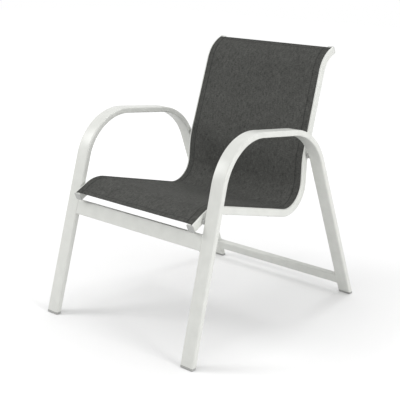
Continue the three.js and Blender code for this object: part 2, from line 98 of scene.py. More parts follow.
# Sling rails and their plugs
RAIL_TIP = Vector((0.050, 0.394))
RAIL_TIP_RISE = 28.4
SEAT_CREST_HEIGHT = 0.4363
SEAT_FALL = 12.5
BACK_CORNER_FORWARD = 0.5737
LOWER_BACK_LEAN = 1.2
LUMBAR_HEIGHT = 0.5054
BACK_RECLINE = 15.1
HEAD_CORNER_HEIGHT = 0.8179
HEAD_RISE = 25.7
HEAD_LENGTH = 0.062
RAIL_RADII = [0.101, 0.076, 0.198, 0.100]
RAIL_WIDE = 0.024
RAIL_DEEP = 0.0245
RAIL_CORNER = 0.004
RAIL_WALL = 0.0018
RAIL_GAP = 0.0105
SLOT_INSET = 0.008
SLOT_WIDE = 0.0034
SLOT_LIP = 0.0005
BORE_RADIUS = 0.0042
PLUG_STEM = 0.009
PLUG_PLATE = 0.0026
PLUG_ROUND = 0.0009
PLUG_CHAMFER = 0.0003

# Sling: the sheet and its hems
CLOTH_TOP = 0.0015
CLOTH_THICK = 0.0007
CLOTH_SHOULDER = 0.0011
HEM_THICK = 0.0012
SIDE_HEM = 0.0235
END_HEM = 0.018
HEM_FILLET = 0.0005
HEM_EDGE_ROUND = 0.0003
HEM_GRIP_MARGIN = 0.002
SLING_FRONT_MARGIN = 0.0033
SLING_HEAD_MARGIN = 0.006
HEM_LOOP_OUTER = 0.0039
HEM_LOOP_INNER = 0.0028
NECK_HALF = 0.0013
SPLINE_RADIUS = 0.0025

# Sling: how it sags, bridges the bends, wanders and puckers along its side seams
SEAT_SAG = 0.0032
UPRIGHT_SAG_SHARE = 0.35
END_SAG_SHARE = 0.25
END_SAG_REACH = 0.09
BEND_BRIDGE = 0.0035
BEND_REACH = 0.035
WANDER_HEIGHT = 0.0007
WANDER_SCALE = 9
WANDER_LAYER = 3.1
PUCKER_HEIGHT = 0.00022
PUCKER_LENGTH = 0.017
PUCKER_REACH = 0.01
PUCKER_DRIFT = 5
PUCKER_DRIFT_SCALE = 20
PUCKER_DRIFT_LAYER = 4.0

# Sling: its stitches, and how much painted shade darkens it at seams, on doubled hems and towards the head
STITCH_PITCH = 0.0042
STITCH_LENGTH = 0.0033
STITCH_RADIUS = 0.00045
STITCH_INSET = 0.0035
STITCH_PROUD = 0.00012
STITCH_DIP = 0.0004
STITCH_TAPER = 0.45
SEAM_WIDE = 0.0026
SEAM_PAINTED_SHADE = 0.4
END_SEAM_SHARE = 0.35
SIDE_HEM_PAINTED_SHADE = 0.06
END_HEM_PAINTED_SHADE = 0.04
HEAD_EDGE_PAINTED_SHADE = 0.16
HEAD_EDGE_WIDE = 0.008
HEAD_PAINTED_SHADE = 0.12
HEAD_SHADE_REACH = 0.2

# Sling: its weave, with painted shade in its grooves
THREAD_LIFT = 1.4
DYE_SCALE = 0.9
DYE_SPREAD = (-0.3, 1.3)
WARP_STREAK = 70.0
WEFT_STREAK = 90.0
FLECK_STRETCH = (1.0, 0.5, 1.0)
GROOVE_PAINTED_SHADE = 0.35

# Spreader bars
SPREADER_WIDE = 0.028
SPREADER_THICK = 0.012
SPREADER_CORNER = 0.004
SPREADER_WALL = 0.0015
SPREADER_BOW = 0.018
SPREADER_BEND_RADIUS = 0.060
SPREADER_FLAT = 0.024
SPREADER_BOW_RUN = 0.080
SEAT_SPREADER_SHARES = [0.16, 0.8]
BACK_SPREADER_SHARE = 0.62

# Fastenings. A dome is its fullness and the angles of its points.
BOLT_RADIUS = 0.003
BOLT_TIP = 0.0125
BOLT_HOLE = 0.0033
BOLT_HEAD_RADIUS = 0.0056
BOLT_HEAD_HEIGHT = 0.0033
BOLT_DOME = (0.6, (0, 12, 25, 40, 55, 66))
BOLT_SOCKET_RIM = 0.002875
BOLT_SOCKET_RADIUS = 0.0023
BOLT_SOCKET_CHAMFER = 0.0002
BOLT_SOCKET_DEPTH = 0.002
BOLT_SOCKET_FLATS = 6
WASHER_RADIUS = 0.007
WASHER_THICK = 0.0012
STEEL_EDGE_ROUND = 0.0003
SPACER_RADIUS = 0.008
SPACER_ROUND = 0.0006
NUT_FLANGE_RADIUS = 0.0062
NUT_FLANGE_THICK = 0.001
NUT_BARREL_RADIUS = 0.0044
NUT_BARREL_LENGTH = 0.012
SCREW_RADIUS = 0.002
SCREW_REACH = 0.0095
SCREW_HEAD_RADIUS = 0.004
SCREW_HEAD_HEIGHT = 0.0014
SCREW_DOME = (0.5, (0, 15, 32, 50, 66))
SCREW_RECESS_RIM = 0.00216
SCREW_RECESS_RADIUS = 0.0018
SCREW_RECESS_CHAMFER = 0.0001
SCREW_RECESS_DEPTH = 0.0009
SCREW_RECESS_FLOOR = 0.001116
SCREW_RECESS_FLATS = 4

# Clearance between touching pieces, how finely shapes are stepped, and which angles are sharp
TOUCH_GAP = 0.0003
RUN_STEP = 0.04
SPREADER_RUN_STEP = 0.03
CLOTH_RUN_STEP = 0.006
CLOTH_COLUMNS = 92
CLOTH_UNDER_COLUMNS = 80
BEND_STEP = 2.5
CORNER_STEPS = 8
EDGE_STEPS = 4
GLIDE_ROUND_STEPS = 5
LOOP_STEPS = 20
LIP_STEPS = 3
SHOULDER_STEPS = 5
TURNED_SIDES = 48
BEAD_SIDES = 10
BEAD_SAMPLES = 6
SPLINE_SIDES = 16
STITCH_SIDES = 6
STITCH_SHARES = (-1.0, -0.6, 0.0, 0.6, 1.0)
NOSE_ANGLES = (20, 45, 70, 90)
SHARP_ANGLE = 35.0
BEAD_SHARP_ANGLE = 80.0

LEAN = math.radians(FRAME_LEAN)
SIDE_X = (FOOT_WIDTH - TUBE_WIDE) / 2
FRAME_INNER = TUBE_WIDE / 2
RAIL_OUTER = FRAME_INNER + RAIL_GAP
RAIL_INNER = RAIL_OUTER + RAIL_WIDE
SLOT_X = RAIL_OUTER + SLOT_INSET
BORE_DEPTH = RAIL_WALL + BORE_RADIUS
CHAMBER_TOP = BORE_DEPTH + BORE_RADIUS + RAIL_WALL
CHAMBER_FLOOR = RAIL_DEEP - RAIL_WALL
BOLT_DEPTH = (CHAMBER_TOP + CHAMBER_FLOOR) / 2
GRIP_X = SIDE_X - RAIL_INNER
SIDES = {"left": 1, "right": -1}


# Lines: straight runs and round bends in one plane
class Stop:
    """A place on a line, the line's direction there and how far along it is."""

    def __init__(self, point, along, distance=0.0):
        self.point = point
        self.along = along
        self.distance = distance

    def beside(self, rise):
        return self.point + left_of(self.along) * rise


def left_of(direction):
    return Vector((-direction.y, direction.x))


def turned(vector, angle):
    cosine, sine = math.cos(angle), math.sin(angle)
    return Vector((vector.x * cosine - vector.y * sine, vector.x * sine + vector.y * cosine))


def heading(degrees):
    return turned(Vector((1, 0)), math.radians(degrees))


def turn_between(before, after):
    return math.atan2(before.x * after.y - before.y * after.x, before.dot(after))


def bent_line(corners, radii, run_step=RUN_STEP):
    stops = [Stop(corners[0], (corners[1] - corners[0]).normalized())]

    def add_run(end, along):
        start = stops[-1].point
        pieces = max(1, math.ceil((end - start).length / run_step))
        for piece in range(1, pieces + 1):
            stops.append(Stop(start.lerp(end, piece / pieces), along))

    for index, radius in enumerate(radii):
        corner = corners[index + 1]
        before = (corner - corners[index]).normalized()
        after = (corners[index + 2] - corner).normalized()
        turn = turn_between(before, after)
        start = corner - before * radius * math.tan(abs(turn) / 2)
        add_run(start, before)
        centre = start + left_of(before) * math.copysign(radius, turn)
        steps = max(1, math.ceil(math.degrees(abs(turn)) / BEND_STEP))
        for step in range(1, steps + 1):
            angle = turn * step / steps
            stops.append(Stop(centre + turned(start - centre, angle), turned(before, angle)))
    add_run(corners[-1], (corners[-1] - corners[-2]).normalized())
    for before, stop in zip(stops, stops[1:]):
        stop.distance = before.distance + (stop.point - before.point).length
    return stops


# Where a line's own plane lies in the chair
def chair_side(way):
    """Places what is at x outwards from the middle of the frame tube, and at a point of the side's plane."""
    def place(x, point):
        leaning = SIDE_X + x * math.cos(LEAN) - point.y * math.sin(LEAN)
        height = x * math.sin(LEAN) + point.y * math.cos(LEAN)
        return Vector((way * leaning, point.x - FOOT_MIDDLE, height))
    return place


def inwards(way):
    """The same with x turned round, so that outlines measured inwards from the frame tube fit."""
    place = chair_side(way)
    return lambda x, point: place(-x, point)


def across_rails(x, point):
    """A point at x from the chair's middle: in proportion between the rails, with their lean further out."""
    reach = max(abs(x), GRIP_X)
    place = chair_side(1)(reach - SIDE_X, point)
    return Vector((place.x * x / reach, place.y, place.z))


# The side frame's line
front_corner = Vector((ARM_CORNER_HEIGHT * math.tan(math.radians(FRONT_LEG_LEAN)), ARM_CORNER_HEIGHT))
arm_slope = math.tan(math.radians(ARM_FALL))
rake_slope = math.tan(math.radians(REAR_LEG_RAKE))
arm_low = ARM_CORNER_HEIGHT - (FOOT_SPAN - front_corner.x) * arm_slope
rear_corner_height = arm_low / (1 - rake_slope * arm_slope)
rear_corner = Vector((FOOT_SPAN - rear_corner_height * rake_slope, rear_corner_height))
FRAME_CORNERS = [Vector((0, 0)), front_corner, rear_corner, Vector((FOOT_SPAN, 0))]
LEGS = {
    "front": (FRAME_CORNERS[0], (front_corner - FRAME_CORNERS[0]).normalized()),
    "rear": (FRAME_CORNERS[3], (rear_corner - FRAME_CORNERS[3]).normalized()),
}


# The sling rail's line
def rail_corners(front_margin=0.0, head_margin=0.0):
    tip_run = (SEAT_CREST_HEIGHT - RAIL_TIP.y) / math.tan(math.radians(RAIL_TIP_RISE))
    crest = Vector((RAIL_TIP.x + tip_run, SEAT_CREST_HEIGHT))
    seat_drop = (BACK_CORNER_FORWARD - crest.x) * math.tan(math.radians(SEAT_FALL))
    back = Vector((BACK_CORNER_FORWARD, SEAT_CREST_HEIGHT - seat_drop))
    lumbar_shift = (LUMBAR_HEIGHT - back.y) * math.tan(math.radians(LOWER_BACK_LEAN))
    lumbar = Vector((back.x + lumbar_shift, LUMBAR_HEIGHT))
    head_shift = (HEAD_CORNER_HEIGHT - LUMBAR_HEIGHT) * math.tan(math.radians(BACK_RECLINE))
    head = Vector((lumbar.x + head_shift, HEAD_CORNER_HEIGHT))
    front = RAIL_TIP + heading(RAIL_TIP_RISE) * front_margin
    end = head + heading(HEAD_RISE) * (HEAD_LENGTH - head_margin)
    return [front, crest, back, lumbar, head, end]


def rail_run(index):
    """The start, end and direction of the rail's straight run after one of its corners."""
    corners = rail_corners()

    def tangent(corner):
        before = (corners[corner] - corners[corner - 1]).normalized()
        after = (corners[corner + 1] - corners[corner]).normalized()
        return RAIL_RADII[corner - 1] * math.tan(before.angle(after) / 2)

    along = (corners[index + 1] - corners[index]).normalized()
    return corners[index] + along * tangent(index), corners[index + 1] - along * tangent(index + 1), along


# The sling's line and the places of its seams
CLOTH_CORNERS = rail_corners(SLING_FRONT_MARGIN, SLING_HEAD_MARGIN)
CLOTH_STOPS = bent_line(CLOTH_CORNERS, RAIL_RADII, CLOTH_RUN_STEP)
CLOTH_LENGTH = CLOTH_STOPS[-1].distance
HEM_X = SIDE_X - SLOT_X
CLOTH_HALF = HEM_X + NECK_HALF - CLOTH_SHOULDER
SIDE_SEAM = HEM_X - SIDE_HEM + STITCH_INSET
END_SEAM = END_HEM - STITCH_INSET


# Outlines, drawn anticlockwise
def arc(centre, radius, start, end, steps=CORNER_STEPS):
    angles = [math.radians(start + (end - start) * step / steps) for step in range(steps + 1)]
    return [Vector((centre[0] + radius * math.cos(a), centre[1] + radius * math.sin(a))) for a in angles]


def rounded_outline(left, right, bottom, top, radius):
    return [
        *arc((right - radius, top - radius), radius, 0, 90),
        *arc((left + radius, top - radius), radius, 90, 180),
        *arc((left + radius, bottom + radius), radius, 180, 270),
        *arc((right - radius, bottom + radius), radius, 270, 360),
    ]


def centred_outline(width, height, radius):
    return rounded_outline(-width / 2, width / 2, -height / 2, height / 2, radius)


def tube_outlines(width, height, corner, wall):
    bore = centred_outline(width - 2 * wall, height - 2 * wall, corner - wall)
    return [centred_outline(width, height, corner), bore]


def inset_outline(outline, distance):
    low = Vector((min(p.x for p in outline), min(p.y for p in outline)))
    high = Vector((max(p.x for p in outline), max(p.y for p in outline)))
    middle, half = (low + high) / 2, (high - low) / 2
    scale = Vector(((half.x - distance) / half.x, (half.y - distance) / half.y))
    return [Vector((middle.x + (p.x - middle.x) * scale.x, middle.y + (p.y - middle.y) * scale.y))
            for p in outline]


def quarter_round(size, steps=EDGE_STEPS):
    """A rounded edge from its side to its face: how far in from the side, and how far short of the face."""
    turns = [math.radians(90 * step / steps) for step in range(steps + 1)]
    return [(size * (1 - math.cos(t)), size * (1 - math.sin(t))) for t in turns]


# Meshes. A shape is vertices and faces, and a look is a material and a slot's name, which nothing here uses.
def new_object(name, data):
    made = bpy.data.objects.new(name, data)
    bpy.context.scene.collection.objects.link(made)
    return made


def mesh_piece(name, shape, look, nodes, corner_uvs=None, sharp=SHARP_ANGLE):
    vertices, faces = shape
    material, slot = look
    mesh = bpy.data.meshes.new(name)
    mesh.from_pydata([tuple(v) for v in vertices], [], faces)
    if corner_uvs:
        layer = mesh.uv_layers.new(name="surface")
        for loop, uv in zip(layer.data, (uv for face in corner_uvs for uv in face)):
            loop.uv = uv
    work = bmesh.new()
    work.from_mesh(mesh)
    bmesh.ops.recalc_face_normals(work, faces=work.faces)
    work.to_mesh(mesh)
    work.free()
    mesh.shade_smooth()
    mesh.set_sharp_from_angle(angle=math.radians(sharp))
    mesh.materials.append(material)
    piece = new_object(name, mesh)
    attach(piece, "root")
    if nodes:
        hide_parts(*nodes)
    return piece


def skinned(rings, caps=True, closed=False):
    """Faces between rings of vertices. A ring is a list of outlines, and caps are filled round its holes."""
    vertices, faces, starts = [], [], []
    for ring in rings:
        starts.append([])
        for outline in ring:
            starts[-1].append(len(vertices))
            vertices.extend(outline)
    pairs = list(zip(starts, starts[1:]))
    if closed:
        pairs.append((starts[-1], starts[0]))
    for here, there in pairs:
        for index, outline in enumerate(rings[0]):
            count = len(outline)
            for a in range(count):
                b = (a + 1) % count
                faces.append((here[index] + a, here[index] + b, there[index] + b, there[index] + a))
    if caps and not closed:
        for ring, start in ((rings[0], starts[0]), (rings[-1], starts[-1])):
            faces.extend(tuple(start[0] + index for index in face) for face in tessellate_polygon(ring))
    return vertices, faces


def rings_along(outlines, stops, place):
    return [[[place(p.x, stop.beside(p.y)) for p in outline] for outline in outlines] for stop in stops]


def joined_shapes(shapes):
    vertices, faces = [], []
    for shape_vertices, shape_faces in shapes:
        start = len(vertices)
        vertices.extend(shape_vertices)
        faces.extend(tuple(start + index for index in face) for face in shape_faces)
    return vertices, faces


# Node trees
def node(tree, kind, **settings):
    made = tree.nodes.new(kind)
    for key, value in settings.items():
        setattr(made, key, value)
    return made


def wire(tree, value, socket):
    """Links another socket to this one, or sets a plain value on it."""
    if isinstance(value, bpy.types.NodeSocket):
        tree.links.new(value, socket)
    else:
        socket.default_value = value


def calculator(tree):
    """Makes one tree's math nodes, each from an operation and its values."""
    def calc(operation, *values):
        made = node(tree, "ShaderNodeMath", operation=operation)
        for value, socket in zip(values, made.inputs):
            wire(tree, value, socket)
        return made.outputs[0]
    return calc


def mix_colors(tree, factor, first, second, blend="MIX"):
    made = node(tree, "ShaderNodeMix", data_type="RGBA", blend_type=blend)
    for value, socket in zip((factor, first, second), (made.inputs[0], made.inputs[6], made.inputs[7])):
        wire(tree, value, socket)
    return made.outputs[2]


def darkened(tree, color, shade):
    grey = node(tree, "ShaderNodeCombineColor")
    for channel in grey.inputs:
        wire(tree, shade, channel)
    return mix_colors(tree, 1.0, color, grey.outputs[0], "MULTIPLY")


def ranged(tree, value, low, high, run=(0.0, 1.0)):
    """Takes a value's run to another range, and holds it at that range's ends."""
    made = node(tree, "ShaderNodeMapRange")
    bounds = {"Value": value, "From Min": run[0], "From Max": run[1], "To Min": low, "To Max": high}
    for name, bound in bounds.items():
        wire(tree, bound, made.inputs[name])
    return made.outputs["Result"]


def clouds(tree, where, scale, detail):
    made = node(tree, "ShaderNodeTexNoise")
    for name, value in (("Vector", where), ("Scale", scale), ("Detail", detail)):
        wire(tree, value, made.inputs[name])
    return made.outputs["Fac"]


def object_place(tree):
    return node(tree, "ShaderNodeTexCoord").outputs["Object"]


def sheet_place(tree):
    """A point's place on the flat sheet: across it, along it, and both as one vector."""
    where = node(tree, "ShaderNodeUVMap", uv_map="surface").outputs["UV"]
    split = node(tree, "ShaderNodeSeparateXYZ")
    wire(tree, where, split.inputs[0])
    return split.outputs["X"], split.outputs["Y"], where


def effect_group(name, inputs, outputs):
    tree = bpy.data.node_groups.new(name, "ShaderNodeTree")
    for label, kind, value in inputs:
        socket = tree.interface.new_socket(label, in_out="INPUT", socket_type=kind)
        if value is not None:
            socket.default_value = value
    for label, kind in outputs:
        tree.interface.new_socket(label, in_out="OUTPUT", socket_type=kind)
    return tree, node(tree, "NodeGroupInput").outputs, node(tree, "NodeGroupOutput").inputs


def place_group(tree, group, **values):
    made = node(tree, "ShaderNodeGroup", node_tree=group)
    for label, value in values.items():
        wire(tree, value, made.inputs[label.replace("_", " ")])
    return made.outputs


FLOAT, COLOR = "NodeSocketFloat", "NodeSocketColor"


def make_mottle():
    """Slow changes of tone over a surface: a colour and a roughness that drift a little."""
    tree, given, result = effect_group(
        "mottle",
        [("Color", COLOR, None), ("Tone", FLOAT, 0.05), ("Scale", FLOAT, 20.0), ("Roughness", FLOAT, 0.5),
         ("Drift", FLOAT, 0.05)],
        [("Color", COLOR), ("Roughness", FLOAT)],
    )
    calc = calculator(tree)
    cloud = clouds(tree, object_place(tree), given["Scale"], 4)
    shade = ranged(tree, cloud, calc("SUBTRACT", 1.0, given["Tone"]), 1.0)
    wire(tree, darkened(tree, given["Color"], shade), result["Color"])
    drift = calc("MULTIPLY", calc("SUBTRACT", cloud, 0.5), given["Drift"])
    wire(tree, calc("ADD", given["Roughness"], drift), result["Roughness"])
    return tree


def make_grain():
    """The fine grain of a sprayed or moulded surface, as a height."""
    tree, given, result = effect_group("fine_grain", [("Scale", FLOAT, 900.0)], [("Height", FLOAT)])
    wire(tree, clouds(tree, object_place(tree), given["Scale"], 2), result["Height"])
    return tree


def make_weave():
    """A plain weave of round threads: warp along the sling, weft across it, each with its own dyed tone, and
    painted shade in the grooves between them.
    """
    tree, given, result = effect_group(
        "plain_weave",
        [("Dark Thread", COLOR, None), ("Light Thread", COLOR, None), ("Warp Pitch", FLOAT, 0.0013),
         ("Weft Pitch", FLOAT, 0.0013), ("Heather", FLOAT, 0.5), ("Heather Scale", FLOAT, 260.0)],
        [("Color", COLOR), ("Height", FLOAT)],
    )
    calc = calculator(tree)
    across, along, where = sheet_place(tree)
    warp = calc("DIVIDE", across, given["Warp Pitch"])
    weft = calc("DIVIDE", along, given["Weft Pitch"])

    def thread_round(count):
        from_middle = calc("SUBTRACT", calc("FRACT", count), 0.5)
        return calc("COSINE", calc("MULTIPLY", from_middle, math.pi))

    def thread_tone(count, place, streak):
        spot = node(tree, "ShaderNodeCombineXYZ")
        wire(tree, calc("FLOOR", count), spot.inputs[0])
        wire(tree, calc("MULTIPLY", place, streak), spot.inputs[1])
        return ranged(tree, clouds(tree, spot.outputs[0], DYE_SCALE, 2), *DYE_SPREAD)

    phase = calc("MULTIPLY", calc("FLOOR", warp), math.pi)
    wave = calc("COSINE", calc("ADD", calc("MULTIPLY", weft, math.pi), phase))
    warp_height = calc("MULTIPLY", thread_round(warp), calc("ADD", THREAD_LIFT, wave))
    weft_height = calc("MULTIPLY", thread_round(weft), calc("SUBTRACT", THREAD_LIFT, wave))
    height = calc("MAXIMUM", warp_height, weft_height)
    warp_on_top = calc("GREATER_THAN", warp_height, weft_height)
    warp_tone = calc("MULTIPLY", warp_on_top, thread_tone(warp, along, WARP_STREAK))
    weft_on_top = calc("SUBTRACT", 1.0, warp_on_top)
    weft_tone = calc("MULTIPLY", weft_on_top, thread_tone(weft, across, WEFT_STREAK))
    drawn_out = node(tree, "ShaderNodeMapping", vector_type="POINT")
    wire(tree, FLECK_STRETCH, drawn_out.inputs["Scale"])
    wire(tree, where, drawn_out.inputs["Vector"])
    flecks = clouds(tree, drawn_out.outputs["Vector"], given["Heather Scale"], 3)
    drift = calc("MULTIPLY", calc("SUBTRACT", flecks, 0.5), given["Heather"])
    tone = calc("ADD", calc("ADD", warp_tone, weft_tone), drift)
    dyed = mix_colors(tree, tone, given["Dark Thread"], given["Light Thread"])
    # The colour darkened in the low places between threads: painted shade in the weave's grooves
    wire(tree, darkened(tree, dyed, ranged(tree, height, GROOVE_PAINTED_SHADE, 1.0)), result["Color"])
    wire(tree, height, result["Height"])
    return tree


MOTTLE = make_mottle()
GRAIN = make_grain()
WEAVE = make_weave()


# Materials
def surface(name):
    material = bpy.data.materials.new(name)
    material.use_nodes = True
    tree = material.node_tree
    return material, tree, tree.nodes["Principled BSDF"].inputs


def bump(tree, shader, height, distance):
    made = node(tree, "ShaderNodeBump")
    wire(tree, distance, made.inputs["Distance"])
    wire(tree, height, made.inputs["Height"])
    wire(tree, made.outputs["Normal"], shader["Normal"])


def sprayed_or_moulded(name, slot, color, roughness, tone, grain_scale, grain_depth, metallic=0.0):
    """A powder-coated, plastic or metal look: a mottled tone and a fine grain."""
    material, tree, shader = surface(name)
    tones = place_group(
        tree, MOTTLE, Color=(*color, 1), Tone=tone, Scale=34.0, Roughness=roughness, Drift=0.12)
    wire(tree, tones["Color"], shader["Base Color"])
    wire(tree, tones["Roughness"], shader["Roughness"])
    wire(tree, metallic, shader["Metallic"])
    bump(tree, shader, place_group(tree, GRAIN, Scale=grain_scale)["Height"], grain_depth)
    return material, slot


def painted_cloth_shade(tree):
    """What is left of the cloth's colour under painted shade at its seams, on its doubled hems and towards
    its head end.
    """
    calc = calculator(tree)
    across, along, _ = sheet_place(tree)
    from_middle = calc("ABSOLUTE", calc("SUBTRACT", across, CLOTH_HALF))
    from_head = calc("SUBTRACT", CLOTH_LENGTH, along)
    from_end = calc("MINIMUM", along, from_head)

    # A dark band painted along each stitched seam: painted shade for the groove that the stitching draws down
    def line_at(value, place):
        away = calc("ABSOLUTE", calc("SUBTRACT", value, place))
        return ranged(tree, away, 1.0, 0.0, (0.0, SEAM_WIDE))

    # Along both ends: the seam's painted shade, and painted shade on the fold at the very edge
    end_lines = calc("MAXIMUM", line_at(from_end, END_SEAM), line_at(from_end, 0.0))
    lines = calc("MAXIMUM", line_at(from_middle, SIDE_SEAM), calc("MULTIPLY", end_lines, END_SEAM_SHARE))
    # Painted shade on the doubled hems, standing for the light that shows less through two layers of mesh
    # than through one
    side_hem = calc("MULTIPLY", calc("GREATER_THAN", from_middle, SIDE_SEAM), SIDE_HEM_PAINTED_SHADE)
    end_hem = calc("MULTIPLY", calc("LESS_THAN", from_end, END_SEAM), END_HEM_PAINTED_SHADE)
    # Then painted shade at the head end: a dark line at its edge, and a darkening that fades over its last
    # stretch, against the lamps' light on the head's roll
    left = 1.0
    for shade in (
        calc("MULTIPLY", lines, SEAM_PAINTED_SHADE),
        calc("MAXIMUM", side_hem, end_hem),
        ranged(tree, from_head, HEAD_EDGE_PAINTED_SHADE, 0.0, (0.0, HEAD_EDGE_WIDE)),
        ranged(tree, from_head, HEAD_PAINTED_SHADE, 0.0, (0.0, HEAD_SHADE_REACH)),
    ):
        left = calc("SUBTRACT", left, shade)
    return left


def woven_cloth(name, slot):
    material, tree, shader = surface(name)
    weave = place_group(
        tree, WEAVE,
        Dark_Thread=(0.0315, 0.0320, 0.0303, 1),
        Light_Thread=(0.150, 0.1517, 0.1418, 1),
        Warp_Pitch=0.0013, Weft_Pitch=0.0013, Heather=0.62, Heather_Scale=130.0,
    )
    # The weave darkened by painted shade at its seams, hems and head end
    weave_with_painted_shade = darkened(tree, weave["Color"], painted_cloth_shade(tree))
    tones = place_group(tree, MOTTLE, Color=weave_with_painted_shade, Tone=0.32, Scale=32.0, Roughness=0.78, Drift=0.1)
    wire(tree, tones["Color"], shader["Base Color"])
    wire(tree, tones["Roughness"], shader["Roughness"])
    wire(tree, 0.01, shader["Sheen Weight"])
    wire(tree, 0.5, shader["Sheen Roughness"])
    wire(tree, 0.04, shader["Specular IOR Level"])
    bump(tree, shader, weave["Height"], 0.00012)
    return material, slot


POWDER_COAT = sprayed_or_moulded(
    "powder_coat", "frame_powder_coat", (0.652, 0.660, 0.628), 0.34, 0.16, 700.0, 0.00009)
WHITE_PLASTIC = sprayed_or_moulded(
    "white_plastic", "white_plastic", (0.408, 0.412, 0.400), 0.5, 0.08, 1400.0, 0.00004)
GREY_PLASTIC = sprayed_or_moulded(
    "grey_plastic", "grey_plastic", (0.352, 0.356, 0.344), 0.55, 0.1, 1200.0, 0.00005)
CLEAR_PLASTIC = sprayed_or_moulded(
    "clear_plastic", "clear_plastic", (0.50, 0.505, 0.49), 0.4, 0.05, 900.0, 0.00003)
STEEL = sprayed_or_moulded(
    "zinc_steel", "fastener_steel", (0.62, 0.63, 0.64), 0.34, 0.12, 1800.0, 0.00002, metallic=1.0)
CLOTH = woven_cloth("sling_cloth", "sling_fabric")
THREAD = sprayed_or_moulded(
    "sewing_thread", "sling_fabric", (0.015, 0.0154, 0.015), 0.75, 0.2, 2600.0, 0.00006)


# Pieces of each side
def side_frame(side, way):
    outlines = tube_outlines(TUBE_WIDE, TUBE_THICK, TUBE_CORNER, TUBE_WALL)
    stops = bent_line(FRAME_CORNERS, [FRONT_BEND_RADIUS, REAR_BEND_RADIUS])
    rings = rings_along(outlines, stops, chair_side(way))
    for ring, leg in ((rings[0], "front"), (rings[-1], "rear")):
        level_ring(ring, GLIDE_HEIGHT + TOUCH_GAP, leg, way)
    mesh_piece(f"frame_tube_{side}", skinned(rings), POWDER_COAT, [f"side_frame_{side}"])


def level_ring(ring, height, leg, way):
    """Slides each point of a leg's end along the leg until it is level."""
    foot, up = LEGS[leg]
    place = chair_side(way)
    along = place(0, foot + up) - place(0, foot)
    for outline in ring:
        for index, point in enumerate(outline):
            outline[index] = point + along * ((height - point.z) / along.z)


def foot_glide(leg, side, way):
    outline = centred_outline(TUBE_WIDE, TUBE_THICK, TUBE_CORNER)
    levels = [
        *reversed(quarter_round(GLIDE_ROUND, GLIDE_ROUND_STEPS)),
        (0.0, GLIDE_HEIGHT - GLIDE_TOP_ROUND),
        (GLIDE_TOP_ROUND, GLIDE_HEIGHT),
    ]
    rings = []
    for inset, height in levels:
        ring = rings_along([inset_outline(outline, inset)], [Stop(*LEGS[leg])], chair_side(way))[0]
        level_ring(ring, height, leg, way)
        rings.append(ring)
    mesh_piece(f"glide_{leg}_{side}", skinned(rings), GREY_PLASTIC, [f"foot_glide_{leg}_{side}"])


def rail_outline():
    half = SLOT_WIDE / 2
    turn = math.degrees(math.asin(half / BORE_RADIUS))
    return [
        *arc((SLOT_X - half - SLOT_LIP, -SLOT_LIP), SLOT_LIP, 0, 90, LIP_STEPS),
        *arc((RAIL_OUTER + RAIL_CORNER, -RAIL_CORNER), RAIL_CORNER, 90, 180),
        *arc((RAIL_OUTER + RAIL_CORNER, RAIL_CORNER - RAIL_DEEP), RAIL_CORNER, 180, 270),
        *arc((RAIL_INNER - RAIL_CORNER, RAIL_CORNER - RAIL_DEEP), RAIL_CORNER, 270, 360),
        *arc((RAIL_INNER - RAIL_CORNER, -RAIL_CORNER), RAIL_CORNER, 0, 90),
        *arc((SLOT_X + half + SLOT_LIP, -SLOT_LIP), SLOT_LIP, 90, 180, LIP_STEPS),
        *arc((SLOT_X, -BORE_DEPTH), BORE_RADIUS, 90 - turn, turn - 270, LOOP_STEPS),
    ]


def chamber_outline():
    step_x = SLOT_X + BORE_RADIUS + RAIL_WALL
    return [Vector(p) for p in (
        (RAIL_OUTER + RAIL_WALL, -CHAMBER_FLOOR),
        (RAIL_INNER - RAIL_WALL, -CHAMBER_FLOOR),
        (RAIL_INNER - RAIL_WALL, -RAIL_WALL),
        (step_x, -RAIL_WALL),
        (step_x, -CHAMBER_TOP),
        (RAIL_OUTER + RAIL_WALL, -CHAMBER_TOP),
    )]


def sling_rail(side, way):
    stops = bent_line(rail_corners(), RAIL_RADII)
    rings = rings_along([rail_outline(), chamber_outline()], stops, inwards(way))
    mesh_piece(f"rail_{side}", skinned(rings), POWDER_COAT, [f"sling_rail_{side}"])


def rail_plug(end, side, way):
    corners = rail_corners()
    tip, inner = (corners[0], corners[1]) if end == "front" else (corners[-1], corners[-2])
    outwards = (tip - inner).normalized()
    rise = left_of(outwards) * (1 if end == "top" else -1)
    plate = rounded_outline(RAIL_OUTER, RAIL_INNER, -RAIL_DEEP, 0, RAIL_CORNER)
    stem = rounded_outline(
        RAIL_OUTER + RAIL_WALL + TOUCH_GAP, RAIL_INNER - RAIL_WALL - TOUCH_GAP,
        TOUCH_GAP - CHAMBER_FLOOR, -CHAMBER_TOP - TOUCH_GAP, RAIL_WALL / 2,
    )
    profile = [
        (stem, -PLUG_STEM, 0.0),
        (stem, TOUCH_GAP, 0.0),
        (plate, TOUCH_GAP, PLUG_CHAMFER),
        (plate, TOUCH_GAP + PLUG_CHAMFER, 0.0),
        *((plate, TOUCH_GAP + PLUG_PLATE - short, inset) for inset, short in quarter_round(PLUG_ROUND)),
    ]
    place = inwards(way)
    rings = []
    for outline, reach, inset in profile:
        centre = tip + outwards * reach
        rings.append([[place(p.x, centre + rise * p.y) for p in inset_outline(outline, inset)]])
    mesh_piece(f"plug_{end}_{side}", skinned(rings), WHITE_PLASTIC, [f"rail_plug_{end}_{side}"])


def sling_spline(side, way):
    outline = arc((SLOT_X, -BORE_DEPTH), SPLINE_RADIUS, 0, 360, SPLINE_SIDES)[:-1]
    rings = rings_along([outline], bent_line(CLOTH_CORNERS, RAIL_RADII), inwards(way))
    mesh_piece(f"spline_{side}", skinned(rings), CLEAR_PLASTIC, [f"sling_spline_{side}"])


